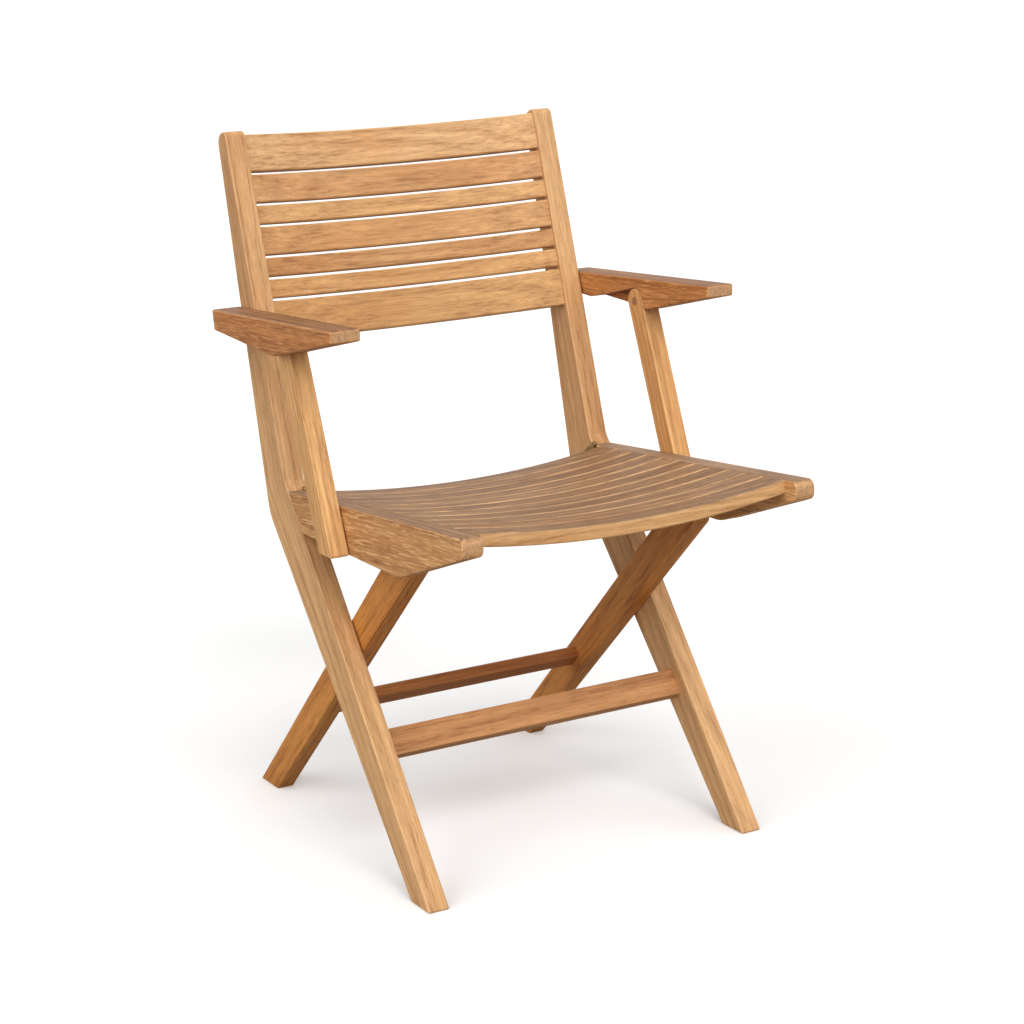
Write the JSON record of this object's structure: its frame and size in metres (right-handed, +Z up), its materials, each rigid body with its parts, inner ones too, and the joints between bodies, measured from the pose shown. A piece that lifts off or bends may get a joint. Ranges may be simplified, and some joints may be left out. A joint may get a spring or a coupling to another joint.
{
  "type": "folding armchair",
  "caption": "Folding teak garden armchair with a dished slatted seat, a curved slatted back, crossed legs, flat armrests and pivoting arm supports.",
  "frame": {"origin": "on the floor, at the centre of the bounding box seen from above", "axes": "+Z up from the floor, the sitter faces -Y, +X to the left hand of the sitter; the left and right in node names are at -X and +X"},
  "size_m": [0.5506, 0.6455, 0.8698],
  "materials": {
    "teak_post": "satin",
    "teak_back": "satin",
    "teak_front_bar": "satin",
    "teak_rear": "satin",
    "teak_rail": "satin",
    "teak_slat": "satin",
    "teak_arm": "satin",
    "teak_support": "satin",
    "teak_plug": "satin",
    "brass": "satin"
  },
  "bodies": {
    "back_frame": {"arm_pivot_pins": "brass", "arm_pivot_washers": "brass", "back_bottom_rail": "teak_back", "back_slat_1": "teak_back", "back_slat_2": "teak_back", "back_slat_3": "teak_back", "back_slat_4": "teak_back", "back_slat_5": "teak_back", "back_top_rail": "teak_back", "front_stretcher": "teak_front_bar", "hinge_rivets": "brass", "leg_pivot_pins": "brass", "leg_pivot_washers": "brass", "post_hinge_screws": "brass", "post_hinge_straps": "brass", "post_left": "teak_post", "post_right": "teak_post"},
    "arm_support_left": {"arm_support_left": "teak_support", "elbow_plug_left": "teak_plug"},
    "arm_support_right": {"arm_support_right": "teak_support", "elbow_plug_right": "teak_plug"},
    "arm_left": {"armrest_left": "teak_arm", "elbow_pin_left": "brass"},
    "arm_right": {"armrest_right": "teak_arm", "elbow_pin_right": "brass"},
    "rear_leg_frame": {"rear_leg_left": "teak_rear", "rear_leg_right": "teak_rear", "rear_stretcher": "teak_rear"},
    "seat": {"seat_hinge_screws": "brass", "seat_hinge_straps": "brass", "seat_lock_pins": "brass", "seat_rail_left": "teak_rail", "seat_rail_right": "teak_rail", "seat_slat_01": "teak_slat", "seat_slat_02": "teak_slat", "seat_slat_03": "teak_slat", "seat_slat_04": "teak_slat", "seat_slat_05": "teak_slat", "seat_slat_06": "teak_slat", "seat_slat_07": "teak_slat", "seat_slat_08": "teak_slat", "seat_slat_09": "teak_slat", "seat_slat_10": "teak_slat", "seat_slat_11": "teak_slat", "support_link_pins": "brass", "support_link_washers": "brass"}
  },
  "joints": [
    {"name": "seat_fold", "type": "hinge", "parent": "back_frame", "child": "seat", "pos_m": [0, 0.124, 0.439], "axis": [-1, 0, 0], "range_deg": [0, 98]},
    {"name": "rear_leg_fold", "type": "hinge", "parent": "back_frame", "child": "rear_leg_frame", "pos_m": [0, 0.0196, 0.2547], "axis": [-1, 0, 0], "range_deg": [0, 70]},
    {"name": "arm_fold_left", "type": "hinge", "parent": "back_frame", "child": "arm_left", "pos_m": [0, 0.2055, 0.6425], "axis": [-1, 0, 0], "range_deg": [0, 98]},
    {"name": "arm_support_fold_left", "type": "hinge", "parent": "arm_left", "child": "arm_support_left", "pos_m": [0, 0.061, 0.6345], "axis": [1, 0, 0], "range_deg": [0, 98]},
    {"name": "arm_fold_right", "type": "hinge", "parent": "back_frame", "child": "arm_right", "pos_m": [0, 0.2055, 0.6425], "axis": [-1, 0, 0], "range_deg": [0, 98]},
    {"name": "arm_support_fold_right", "type": "hinge", "parent": "arm_right", "child": "arm_support_right", "pos_m": [0, 0.061, 0.6345], "axis": [1, 0, 0], "range_deg": [0, 98]}
  ],
  "couplings": [
    {"joint": "rear_leg_fold", "follows": "seat_fold", "ratio": 0.71429},
    {"joint": "arm_fold_left", "follows": "seat_fold", "ratio": 1},
    {"joint": "arm_support_fold_left", "follows": "seat_fold", "ratio": 1},
    {"joint": "arm_fold_right", "follows": "seat_fold", "ratio": 1},
    {"joint": "arm_support_fold_right", "follows": "seat_fold", "ratio": 1}
  ]
}
